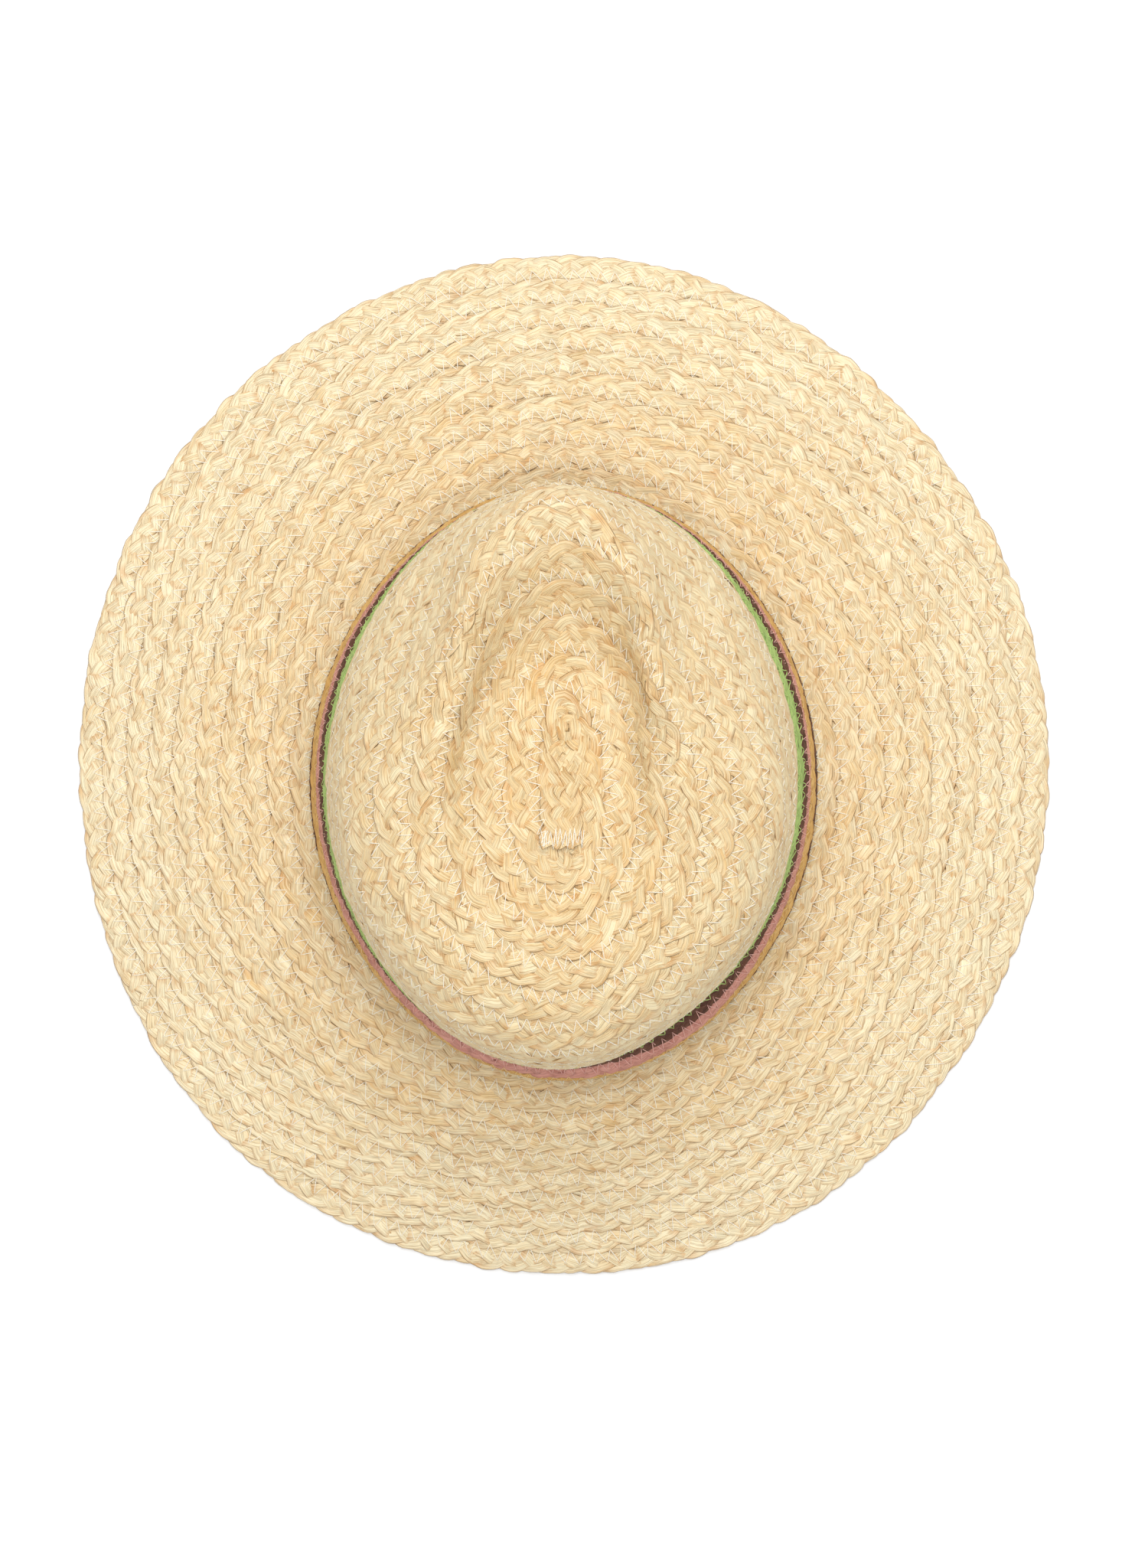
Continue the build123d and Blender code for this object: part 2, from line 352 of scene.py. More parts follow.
def pitch(turn, station):
    """Width of one round there, in millimetres."""
    return np.linalg.norm(straw(turn, station + 0.25) - straw(turn, station - 0.25), axis=-1) / 0.5


def drift(rng, size, along, length):
    """Smooth random values between about -1 and 1, one row each, wandering over a length."""
    total = np.zeros((size, len(along)))
    for octave in (1.0, 0.43, 0.19):
        phase = rng.uniform(0, 2 * math.pi, (size, 1))
        speed = 2 * math.pi / (length * octave) * rng.uniform(0.8, 1.25, (size, 1))
        total += octave**0.5 * np.sin(phase + speed * along)
    return total / 1.75


# ---- meshes --------------------------------------------------------------------------------------
def mesh_piece(name, points, faces, material, layers=(), marks=()):
    """An object from points in millimetres and faces of point indices. layers are UV maps, as
    (name, one pair for each corner), and marks are values, as (name, one for each point)."""
    mesh = bpy.data.meshes.new(name)
    mesh.from_pydata((np.asarray(points) * MM).tolist(), [], np.asarray(faces).tolist())
    for layer_name, pairs in layers:
        layer = mesh.uv_layers.new(name=layer_name)
        layer.data.foreach_set("uv", np.asarray(pairs, np.float32).ravel())
    for mark_name, values in marks:
        mark = mesh.attributes.new(mark_name, "FLOAT", "POINT")
        mark.data.foreach_set("value", np.asarray(values, np.float32).ravel())
    mesh.polygons.foreach_set("use_smooth", [True] * len(mesh.polygons))
    mesh.materials.append(material)
    mesh.update()
    piece = bpy.data.objects.new(name, mesh)
    bpy.context.collection.objects.link(piece)
    return piece


def tubes(name, strips, girth, step, material):
    """One piece made of long closed tubes. Each strip is (rings of points, distance along, marks),
    and girth is the distance round the section to each of its points and back to the first. The
    "fibre" map is in metres, along and round each tube, and the "OFBake" map stacks the tubes,
    cut into rows, so that every part of them has a place of its own."""
    points, faces, fibre, order, marks = [], [], [], [], {}
    start, done = 0, 0
    for number, (rings, along, values) in enumerate(strips):
        count, sides = rings.shape[:2]
        grid = start + np.arange(count * sides).reshape(count, sides)
        nxt = np.roll(grid, -1, axis=1)
        faces.append(np.stack([grid[:-1], grid[1:], nxt[1:], nxt[:-1]], axis=-1).reshape(-1, 4))
        points.append(rings.reshape(-1, 3))
        i, j = np.meshgrid(np.arange(count - 1), np.arange(sides), indexing="ij")
        u0, u1 = along[i] + TUBE_APART * number, along[i + 1] + TUBE_APART * number
        corners = np.stack([u0, girth[j], u1, girth[j], u1, girth[j + 1], u0, girth[j + 1]], axis=-1)
        fibre.append(corners.reshape(-1, 2))
        order.append(np.stack([done + i, j], axis=-1).reshape(-1, 2))
        for key, value in values.items():
            marks.setdefault(key, []).append(np.broadcast_to(value, (count, sides)).ravel())
        start += count * sides
        done += count - 1
    place, side = np.concatenate(order).T
    rows = max(1, round(math.sqrt(done * step / (girth[-1] * 1.15))))
    per_row = math.ceil(done / rows)
    left, right = (place % per_row) / per_row, (place % per_row + 1) / per_row
    share = np.asarray(girth) / girth[-1] * 0.88 + 0.06
    bottom, top = (place // per_row + share[side]) / rows, (place // per_row + share[side + 1]) / rows
    bake = np.stack([left, bottom, right, bottom, right, top, left, top], axis=-1).reshape(-1, 2)
    layers = [("fibre", np.concatenate(fibre) * MM), ("OFBake", bake)]
    values = [(key, np.concatenate(value)) for key, value in marks.items()]
    return mesh_piece(name, np.concatenate(points), np.concatenate(faces), material, layers, values)


def girth_of(section):
    """Distance round a section to each of its points, and back to the first."""
    sides = np.linalg.norm(np.roll(section, -1, axis=0) - section, axis=1)
    return np.concatenate([[0], np.cumsum(sides)])


# ---- plait ---------------------------------------------------------------------------------------
# The section of one strand of raffia leaf: (across, height), as shares of half its width and of its
# thickness. The leaf is folded lengthwise, so its top has soft pleats.
STRAND_SECTION = np.array([
    (-1.00, -0.55), (-0.86, -0.04), (-0.62, 0.32), (-0.36, 0.22), (-0.10, 0.50), (0.16, 0.32),
    (0.44, 0.46), (0.70, 0.14), (0.88, -0.02), (1.00, -0.55), (0.40, -0.62), (-0.40, -0.62),
])
PLEATS = (2, 3, 4, 5, 6, 7)
# How much painted shade each point of the section takes: most at the strand's edges, some on its underside.
RIM_SHADE = np.array([1, 0.6, 0.1, 0, 0, 0, 0, 0.1, 0.6, 1, 0.4, 0.4])


def weave_height(phase):
    """Over and under along one strand: 0 where it turns at the plait's edges."""
    knots = np.zeros(2 * STRANDS + 1)
    for k in range(1, STRANDS):
        knots[k] = (-1) ** k
        knots[STRANDS + k] = -((-1) ** (STRANDS + k))
    place = (phase % 1) * 2 * STRANDS
    k = np.minimum(place.astype(int), 2 * STRANDS - 1)
    ease = (1 - np.cos(math.pi * (place - k))) / 2
    return knots[k] + (knots[k + 1] - knots[k]) * ease


def plait_strands(turn, edge, form, closed, rng, tone=0.0, ground=None):
    """The strands of a plait whose outer edge follows the given stations. Gives the rings of
    points, one row for each strand, with the turn and distance along and the strands' marks."""
    place, normal_at, width_at = ground or (straw, outward, pitch)
    wide = width_at(turn, edge - 0.6)
    centre = place(turn, edge - form["width"] / 2 / wide)
    reach = np.concatenate([[0], np.cumsum(np.linalg.norm(np.diff(centre, axis=0), axis=1))])
    length = reach[-1]
    along = np.linspace(0, length, max(int(round(length / PLAIT_STEP)), 8) + 1)
    turn = np.interp(along, reach, turn)
    edge = np.interp(along, reach, edge)
    wide = width_at(turn, edge - 0.6)
    repeats = length / form["repeat"]
    if closed:
        repeats = round(repeats * STRANDS) / STRANDS
    shift = int(round(repeats * STRANDS)) % STRANDS
    fade = np.clip((along / length - 0.92) / 0.08, 0, 1)
    fade = fade**2 * (3 - 2 * fade)

    def wander(what):
        distance, amount, own = STRAYS[what]
        values = amount * drift(rng, STRANDS, along, distance)
        values = values + own * rng.uniform(-1, 1, (STRANDS, 1))
        if closed:
            values = values * (1 - fade) + np.roll(values, -shift, axis=0)[:, :1] * fade
        return values

    # Where the rounds lie further apart, on the steep parts, the plait is pulled wider.
    stretch = np.maximum(1, (wide + form["least_lap"]) / form["width"])
    middle = edge - form["width"] * stretch / 2 / wide
    phase = along / length * repeats + np.arange(STRANDS)[:, None] / STRANDS + wander("pace")
    swing = (form["width"] - form["strand"]) / 2
    # A strand crosses in a nearly straight line, and then may run along the edge for a moment.
    across = 2 / math.pi * np.arcsin(0.97 * np.cos(2 * math.pi * phase))
    across = swing * across * (1 + form["edge_run"] * (0.4 - 0.65 * across**2))
    across = (across + wander("across") * form["wild"]) * stretch
    share = np.clip(np.abs(across) / (form["width"] * stretch / 2), 0, 1)
    over = weave_height(phase)
    lift = form["weave"] * over * (1 + wander("lift")) + form["stack"] * across / wide
    lift = lift + form["pillow"] * (np.cos(math.pi * share) * 0.5)
    turns = np.broadcast_to(turn, across.shape)
    station = middle + across / wide
    normal = normal_at(turns, station)
    points = place(turns, station) + normal * lift[..., None]
    ahead = unit(np.gradient(points, axis=1))
    down = unit(place(turns, station + 0.08) - place(turns, station - 0.08))
    tilt = (form["stack"] / wide)[None, :, None]
    face = unit(normal - tilt * down)
    side = unit(np.cross(face, ahead))
    face = unit(np.cross(ahead, side))
    roll = wander("roll")[..., None] * form["wild"]
    side, face = unit(side + roll * face), unit(face - roll * side)
    half = form["strand"] / 2 * np.maximum(1 + wander("width"), NARROWEST) * stretch**0.8
    height = np.repeat(STRAND_SECTION[None, None, :, 1], STRANDS, axis=0).repeat(len(along), axis=1)
    for k in PLEATS:
        height[..., k] += wander("pleat")
    rings = points[:, :, None] + side[:, :, None] * (STRAND_SECTION[:, 0] * half[..., None])[..., None]
    rings = rings + face[:, :, None] * (height * form["thick"])[..., None]
    tint = wander("leaf_tint") + wander("patch_tint") + tone
    return {"rings": rings, "turn": turn, "along": along, "tint": tint, "over": over}


def plait_piece(name, strands, first, last, form, material):
    """The length of plait between two samples."""
    pick = slice(first, last + 1)
    girth = girth_of(STRAND_SECTION * (form["strand"] / 2, form["thick"]))
    strips = []
    for rings, tint, over in zip(strands["rings"], strands["tint"], strands["over"]):
        # rim and under carry painted shade: at the strands' edges and undersides, and where a strand dips
        # under the others.
        marks = {
            "tint": tint[pick, None],
            "rim": RIM_SHADE[None, :],
            "under": np.clip(0.5 - 0.5 * over[pick, None], 0, 1),
        }
        strips.append((rings[pick], strands["along"][pick], marks))
    return tubes(name, strips, girth, PLAIT_STEP, material)


# ---- node groups ---------------------------------------------------------------------------------
def new_group(name, inputs, outputs):
    """A shader node group with named inputs (name, socket type, default) and outputs."""
    group = bpy.data.node_groups.new(name, "ShaderNodeTree")
    for label, kind, value in inputs:
        socket = group.interface.new_socket(label, in_out="INPUT", socket_type=kind)
        socket.default_value = value
    for label, kind in outputs:
        group.interface.new_socket(label, in_out="OUTPUT", socket_type=kind)
    return group, group.nodes.new("NodeGroupInput").outputs, group.nodes.new("NodeGroupOutput").inputs


def add(tree, kind, inputs=None, **settings):
    """A node with its settings, and each input either linked or set."""
    node = tree.nodes.new(kind)
    for key, value in settings.items():
        setattr(node, key, value)
    for key, value in (inputs or {}).items():
        if isinstance(value, bpy.types.NodeSocket):
            tree.links.new(value, node.inputs[key])
        else:
            node.inputs[key].default_value = value
    return node


def maths(tree, operation, a, b=0.0, clamp=False):
    return add(tree, "ShaderNodeMath", {0: a, 1: b}, operation=operation, use_clamp=clamp).outputs[0]


def blend(tree, factor, a, b, mode="MIX"):
    node = add(tree, "ShaderNodeMix", {0: factor, 6: a, 7: b}, data_type="RGBA", blend_type=mode)
    return node.outputs[2]


def remap(tree, value, low, high, to_low, to_high):
    sockets = {"Value": value, "From Min": low, "From Max": high, "To Min": to_low, "To Max": to_high}
    return add(tree, "ShaderNodeMapRange", sockets).outputs[0]


def mark(tree, name):
    return add(tree, "ShaderNodeAttribute", attribute_name=name).outputs["Fac"]


def fibre_axes(tree):
    split = add(tree, "ShaderNodeSeparateXYZ", {0: add(tree, "ShaderNodeUVMap", uv_map="fibre").outputs[0]})
    return split.outputs["X"], split.outputs["Y"]


def streaks(tree, along, across, per_along, per_across, detail=2.0):
    """Noise drawn out along the fibres: cells per metre each way."""
    place = add(tree, "ShaderNodeCombineXYZ", {0: maths(tree, "MULTIPLY", along, per_along),
                                               1: maths(tree, "MULTIPLY", across, per_across)})
    sockets = {"Vector": place.outputs[0], "Scale": 1.0, "Detail": detail, "Roughness": 0.6}
    return add(tree, "ShaderNodeTexNoise", sockets).outputs[0]


def leaf_group():
    """A folded strip of raffia leaf: its colour from pale to deep, its roughness and its ribs, with painted
    shade at its edges, underside and folds and where it dips under the weave.
    """
    tree, given, result = new_group(
        "raffia_leaf",
        [("Pale", "NodeSocketColor", (0.9, 0.76, 0.48, 1)), ("Deep", "NodeSocketColor", (0.7, 0.4, 0.12, 1)),
         ("Shade_and_stain", "NodeSocketColor", (0.4, 0.16, 0.04, 1))],
        [("Color", "NodeSocketColor"), ("Roughness", "NodeSocketFloat"), ("Normal", "NodeSocketVector")],
    )
    along, across = fibre_axes(tree)
    broad = streaks(tree, along, across, 70, 1500)
    fine = streaks(tree, along, across, 110, 5200)
    patch = streaks(tree, along, across, 160, 300, 3.0)
    ribs = maths(tree, "ADD", maths(tree, "MULTIPLY", broad, 0.6), maths(tree, "MULTIPLY", fine, 0.4))
    folds = maths(tree, "ABSOLUTE", maths(tree, "SUBTRACT", streaks(tree, along, across, 45, 1100), 0.5))
    folds = remap(tree, folds, 0.0, 0.04, 1.0, 0.0)
    tone = maths(tree, "MULTIPLY", mark(tree, "tint"), 0.30)
    tone = maths(tree, "ADD", tone, maths(tree, "MULTIPLY", maths(tree, "SUBTRACT", patch, 0.5), 1.0))
    tone = maths(tree, "ADD", tone, maths(tree, "MULTIPLY", maths(tree, "SUBTRACT", ribs, 0.5), 2.6))
    tone = maths(tree, "ADD", tone, 0.36, clamp=True)
    colour = blend(tree, tone, given["Pale"], given["Deep"])
    # Painted shade at the strands' edges and undersides.
    edge = maths(tree, "MULTIPLY", mark(tree, "rim"), 0.38)
    # Painted shade where a strand dips under the others.
    low = remap(tree, mark(tree, "under"), 0.35, 1.0, 0.0, 0.55)
    # Stains in patches, and painted shade along the folds.
    stain_and_fold_shade = remap(tree, patch, 0.66, 0.74, 0.0, 0.45)
    stain_and_fold_shade = maths(tree, "ADD", stain_and_fold_shade, maths(tree, "MULTIPLY", folds, 0.30))
    shade_and_stain = maths(tree, "ADD", maths(tree, "MAXIMUM", edge, low), stain_and_fold_shade, clamp=True)
    colour = blend(tree, shade_and_stain, colour, given["Shade_and_stain"])
    tree.links.new(colour, result["Color"])
    tree.links.new(remap(tree, broad, 0.3, 0.7, 0.36, 0.60), result["Roughness"])
    height = maths(tree, "SUBTRACT", maths(tree, "MULTIPLY", ribs, 1.6), maths(tree, "MULTIPLY", folds, 0.35))
    bump = add(tree, "ShaderNodeBump", {"Height": height, "Strength": 0.8, "Distance": 0.0005})
    tree.links.new(bump.outputs[0], result["Normal"])
    return tree


def thread_group():
    """Two-ply sewing thread: its twist, and its colour with a little variation and painted shade in the
    grooves between the plies.
    """
    tree, given, result = new_group(
        "twisted_thread",
        [("Color", "NodeSocketColor", (0.9, 0.85, 0.74, 1)),
         ("Groove", "NodeSocketColor", (0.6, 0.5, 0.36, 1)),
         ("Turns", "NodeSocketFloat", 1400.0)],
        [("Color", "NodeSocketColor"), ("Normal", "NodeSocketVector")],
    )
    along, across = fibre_axes(tree)
    slant = maths(tree, "MULTIPLY", across, 1600.0)
    twist = maths(tree, "ADD", maths(tree, "MULTIPLY", along, given["Turns"]), slant)
    ply = maths(tree, "ABSOLUTE", maths(tree, "SINE", maths(tree, "MULTIPLY", twist, math.pi)))
    shade = streaks(tree, along, across, 90, 200)
    # Painted shade in the grooves between the plies.
    groove = remap(tree, ply, 0.0, 0.55, 0.7, 0.0)
    groove = maths(tree, "ADD", groove, remap(tree, shade, 0.45, 0.75, 0.0, 0.35), clamp=True)
    tree.links.new(blend(tree, groove, given["Color"], given["Groove"]), result["Color"])
    bump = add(tree, "ShaderNodeBump", {"Height": ply, "Strength": 0.6, "Distance": 0.00012})
    tree.links.new(bump.outputs[0], result["Normal"])
    return tree


def grosgrain_group():
    """Ribbed cotton ribbon: raised cords across it, with fine warp threads between. Its colour darkens as
    painted shade in the grooves between cords and between warp threads, and in patches of soil.
    """
    tree, given, result = new_group(
        "ribbed_ribbon",
        [("Color", "NodeSocketColor", (0.8, 0.74, 0.62, 1)),
         ("Groove", "NodeSocketColor", (0.5, 0.42, 0.3, 1)),
         ("Cords", "NodeSocketFloat", 1100.0), ("Warp", "NodeSocketFloat", 2600.0)],
        [("Color", "NodeSocketColor"), ("Normal", "NodeSocketVector")],
    )
    along, across = fibre_axes(tree)
    cord = maths(tree, "ABSOLUTE", maths(tree, "SINE", maths(tree, "MULTIPLY", along, given["Cords"])))
    warp = maths(tree, "ABSOLUTE", maths(tree, "SINE", maths(tree, "MULTIPLY", across, given["Warp"])))
    height = maths(tree, "ADD", cord, maths(tree, "MULTIPLY", warp, 0.25))
    soil = streaks(tree, along, across, 25, 60, 4.0)
    # Painted shade in the grooves between the cords and between the warp threads, with patches of soil.
    groove = maths(tree, "ADD", remap(tree, cord, 0.0, 0.6, 0.75, 0.0), remap(tree, soil, 0.5, 0.8, 0.0, 0.4))
    groove = maths(tree, "ADD", groove, remap(tree, warp, 0.0, 0.4, 0.12, 0.0), clamp=True)
    tree.links.new(blend(tree, groove, given["Color"], given["Groove"]), result["Color"])
    bump = add(tree, "ShaderNodeBump", {"Height": height, "Strength": 0.7, "Distance": 0.0003})
    tree.links.new(bump.outputs[0], result["Normal"])
    return tree


LEAF, THREAD, RIBBED = leaf_group(), thread_group(), grosgrain_group()


def material_of(name, group, colours, outputs, roughness=0.6, **numbers):
    """A material whose shader takes the named outputs of a node group."""
    material = bpy.data.materials.new(name)
    material.use_nodes = True
    tree = material.node_tree
    shader = tree.nodes["Principled BSDF"]
    shader.inputs["Roughness"].default_value = roughness
    inputs = {key: (*value, 1.0) for key, value in colours.items()}
    surface = add(tree, "ShaderNodeGroup", node_tree=group)
    for key, value in {**inputs, **numbers}.items():
        surface.inputs[key].default_value = value
    for output, socket in outputs.items():
        tree.links.new(surface.outputs[output], shader.inputs[socket])
    return material


def leaf_material(name, pale, deep, shade_and_stain, shine=0.35):
    colours = {"Pale": pale, "Deep": deep, "Shade_and_stain": shade_and_stain}
    outputs = {"Color": "Base Color", "Roughness": "Roughness", "Normal": "Normal"}
    material = material_of(name, LEAF, colours, outputs)
    shader = material.node_tree.nodes["Principled BSDF"]
    shader.inputs["Specular IOR Level"].default_value = shine
    return material


def thread_material(name, colour, groove):
    return material_of(name, THREAD, {"Color": colour, "Groove": groove},
                       {"Color": "Base Color", "Normal": "Normal"}, roughness=0.55)


# Each leaf has a pale and a deep colour, and a third that is painted shade at the strands' edges, undersides
# and folds and also the colour of its stains.
natural = leaf_material(
    "natural_raffia", (0.93, 0.81, 0.54), (0.84, 0.58, 0.26), (0.64, 0.31, 0.09), shine=0.65)
# The crown's straw is deeper in hue than the brim's, and also darker as painted shade that holds down the
# stronger light on the crown.
golden_shaded = leaf_material(
    "golden_shaded_raffia", (0.88, 0.75, 0.47), (0.79, 0.51, 0.20), (0.60, 0.27, 0.06), shine=0.65)
dyes = {
    "band_green": leaf_material("green_raffia", (0.50, 0.68, 0.22), (0.32, 0.48, 0.11), (0.10, 0.18, 0.04)),
    "band_dark_brown": leaf_material(
        "brown_raffia", (0.13, 0.035, 0.015), (0.06, 0.014, 0.006), (0.02, 0.006, 0.004)),
    "band_pink": leaf_material("pink_raffia", (0.78, 0.38, 0.31), (0.58, 0.22, 0.17), (0.30, 0.09, 0.06)),
    "band_mustard": leaf_material(
        "mustard_raffia", (0.82, 0.52, 0.18), (0.66, 0.33, 0.07), (0.35, 0.14, 0.02)),
}
dyes["band_lower_brown"] = dyes["band_dark_brown"]
# Each thread's second colour is painted shade in the grooves of its twist.
cream_thread = thread_material("cream_thread", (0.97, 0.92, 0.79), (0.82, 0.71, 0.50))
dyed_threads = {
    "band_green": thread_material("green_thread", (0.56, 0.76, 0.24), (0.28, 0.44, 0.10)),
    "band_pink": thread_material("pink_thread", (0.88, 0.50, 0.44), (0.55, 0.24, 0.20)),
    "band_mustard": thread_material("mustard_thread", (0.88, 0.62, 0.28), (0.55, 0.32, 0.10)),
    "band_lower_brown": thread_material("brown_thread", (0.20, 0.07, 0.04), (0.08, 0.02, 0.01)),
}
dyed_threads["band_dark_brown"] = dyed_threads["band_green"]
# The second colour of the ribbon and the label is painted shade in the grooves between the cords, and also
# their soil.
ribbon_cloth = material_of(
    "ribbon_cloth", RIBBED, {"Color": (0.84, 0.78, 0.66), "Groove": (0.52, 0.44, 0.32)},
    {"Color": "Base Color", "Normal": "Normal"}, roughness=0.8)
label_cloth = material_of(
    "label_cloth", RIBBED, {"Color": (0.90, 0.88, 0.82), "Groove": (0.66, 0.62, 0.54)},
    {"Color": "Base Color", "Normal": "Normal"}, roughness=0.75, Cords=4200.0, Warp=4200.0)


# ---- the sewn rounds -----------------------------------------------------------------------------
def settle(piece, node):
    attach(piece, "root")
    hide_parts(node)
    return piece


def spiral_edge(turns):
    """Station of the spiral's outer edge after a number of turns."""
    steady = SPIRAL_START + SPIRAL_PACE * turns
    last = SPIRAL_START + SPIRAL_PACE * (SPIRAL_TURNS - 1)
    ease = np.clip(turns - (SPIRAL_TURNS - 1), 0, 1)
    return np.where(turns < SPIRAL_TURNS - 1, steady, last + (SPIRAL_END - last) * ease * (2 - ease))


def closed_round(node, edge, form, material, tone=0.0):
    """One round of plait whose outer edge is at a station all the way round."""
    rng = np.random.default_rng(100 + edge)
    turn = np.linspace(0, 360, 721) + 37.0 * edge
    strands = plait_strands(turn, np.full(turn.shape, float(edge)), form, True, rng, tone)
    piece = plait_piece(node + "_plait", strands, 0, len(strands["turn"]) - 1, form, material)
    return settle(piece, node)


def crown():
    """The natural plait of the crown: a spiral from the middle of the tip, then a level round."""
    turns = np.linspace(SPIRAL_CUT, SPIRAL_TURNS, SPIRAL_TURNS * 360 + 1)
    rng = np.random.default_rng(11)
    strands = plait_strands(180 + 360 * turns, spiral_edge(turns), CROWN_PLAIT, False, rng)
    depth = (strands["turn"] - 180) / 360 / SPIRAL_TURNS
    strands["tint"] = strands["tint"] + TIP_TONE + (WALL_TONE - TIP_TONE) * depth
    cuts = np.searchsorted(strands["turn"], 180 + 360 * np.arange(SPIRAL_TURNS + 1))
    cuts[-1] = len(strands["turn"]) - 1
    names = ["tip_start"] + [f"crown_round_{k:02d}" for k in range(2, SPIRAL_TURNS + 1)]
    pieces = []
    for name, first, last in zip(names, cuts, cuts[1:]):
        piece = plait_piece(name + "_plait", strands, first, last, CROWN_PLAIT, golden_shaded)
        pieces.append(settle(piece, name))
    last_name = f"crown_round_{CROWN_ROUNDS:02d}"
    pieces.append(closed_round(last_name, CROWN_ROUNDS, CROWN_PLAIT, golden_shaded, WALL_TONE))
    return pieces


def first_leg():
    """The start of the plait, a short straight run along the middle of the tip. Its cut end lies on
    top at the back, and it dips under the spiral at the front."""
    def place(t, s):
        t, s = np.broadcast_arrays(np.asarray(t, float), np.asarray(s, float))
        y = START_Y - t
        tip_y = BASE_SHIFT_Y + TIP_LINE_SHIFT_Y
        dip = START_RISE + (START_DIP - START_RISE) * np.clip(t / START_RUN, 0, 1) ** 2
        height = TIP_HEIGHT - TIP_TILT * (tip_y - y) / TIP_LINE_HALF + dip
        return np.stack([START_X - s, y, height], axis=-1)

    def normal_at(t, s):
        return np.broadcast_to([0.0, -TIP_TILT / TIP_LINE_HALF, 1.0], (*np.shape(t), 3))

    def width_at(t, s):
        return np.ones(np.shape(t))

    form = {**CROWN_PLAIT, "stack": 0.0, "least_lap": 0.0}
    t = np.linspace(0, START_RUN, 80)
    ground = (place, normal_at, width_at)
    edge = np.full(t.shape, form["width"] / 2)
    strands = plait_strands(t, edge, form, False, np.random.default_rng(12), TIP_TONE, ground)
    piece = plait_piece("tip_start_leg", strands, 0, len(strands["turn"]) - 1, form, golden_shaded)
    return settle(piece, "tip_start")


straw_pieces = crown() + [first_leg()]
for k, node in enumerate(BAND_LEAN):
    straw_pieces.append(closed_round(node, BAND_STATION + k + 1, BAND_PLAIT, dyes[node]))
for k in range(1, BRIM_ROUNDS + 1):
    node = f"brim_round_{k:02d}" if k < BRIM_ROUNDS else "brim_edge_round"
    form = BRIM_PLAIT if k < BRIM_ROUNDS else EDGE_PLAIT
    # Deeper towards the crown as painted shade from the crown, and paler towards the edge.
    tone = INNER_BRIM_SHADE_TONE + (OUTER_BRIM_TONE - INNER_BRIM_SHADE_TONE) * (k - 1) / (BRIM_ROUNDS - 1)
    straw_pieces.append(closed_round(node, BRIM_STATION + k, form, natural, tone))


# ---- the zigzag seams ----------------------------------------------------------------------------
def bvh_of(pieces):
    """A tree of all the given pieces' faces, in metres."""
    points, faces, start = [], [], 0
    for piece in pieces:
        mesh = piece.data
        flat = np.empty(len(mesh.vertices) * 3, np.float32)
        mesh.vertices.foreach_get("co", flat)
        corners = np.empty(len(mesh.loops), np.int32)
        mesh.loops.foreach_get("vertex_index", corners)
        points.append(flat.reshape(-1, 3))
        faces.append(corners.reshape(-1, 4) + start)
        start += len(mesh.vertices)
    return BVHTree.FromPolygons(np.concatenate(points).tolist(), np.concatenate(faces).tolist())


STRAW_TREE = bvh_of(straw_pieces)


def laid_on(turn, station, side):
    """Points on the outermost straw there, above the hat or below it, in millimetres."""
    middle = straw(turn, station)
    normal = outward(turn, station) * side
    out = np.empty_like(middle)
    for k, (start, away) in enumerate(zip((middle + normal * SEEK) * MM, -normal)):
        hit = STRAW_TREE.ray_cast(Vector(start), Vector(away), 2 * SEEK * MM)[0]
        out[k] = middle[k] if hit is None else np.array(hit) / MM
    return out, normal


def thread_strip(points, normal, radius):
    """A closed tube of thread along points, with its distance along."""
    ahead = unit(np.gradient(points, axis=0))
    side = unit(np.cross(ahead, normal))
    up = np.cross(side, ahead)
    angle = np.arange(THREAD_SIDES) * 2 * math.pi / THREAD_SIDES + math.pi / THREAD_SIDES
    rings = points[:, None] + radius * (
        np.cos(angle)[None, :, None] * side[:, None] + np.sin(angle)[None, :, None] * up[:, None])
    along = np.concatenate([[0], np.cumsum(np.linalg.norm(np.diff(points, axis=0), axis=1))])
    return rings, along, {}


def zigzag(turn, edge, side, stitch, rng):
    """The seam thread along an edge of plait, on the outside (side 1) or the inside (side -1).
    Each stitch has one leg almost straight across and one slanting back."""
    path = straw(turn, edge)
    reach = np.concatenate([[0], np.cumsum(np.linalg.norm(np.diff(path, axis=0), axis=1))])
    count = int(reach[-1] / stitch[0])
    step = reach[-1] / count
    starts = np.arange(count) * step + rng.uniform(-0.5, 0.5, count)
    needle = np.stack([starts, starts + STEEP_LEG * step], axis=1).ravel()
    wide = pitch(np.interp(needle, reach, turn), np.interp(needle, reach, edge))
    offset = np.tile([-1.0, 1.0], count) * stitch[1] * rng.uniform(0.78, 1.22, 2 * count) / wide
    share = np.arange(LEG_PARTS) / LEG_PARTS
    along = (needle[:-1, None] + np.diff(needle)[:, None] * share).ravel()
    across = (offset[:-1, None] + np.diff(offset)[:, None] * share).ravel()
    turns = np.interp(along, reach, turn)
    points, normal = laid_on(turns, np.interp(along, reach, edge) + across, side)
    rise = np.tile(np.where(share == 0, -NEEDLE_DEPTH, THREAD_RADIUS * 0.7), 2 * count - 1)
    points = points + normal * rise[:, None]
    return thread_strip(points, normal, THREAD_RADIUS)


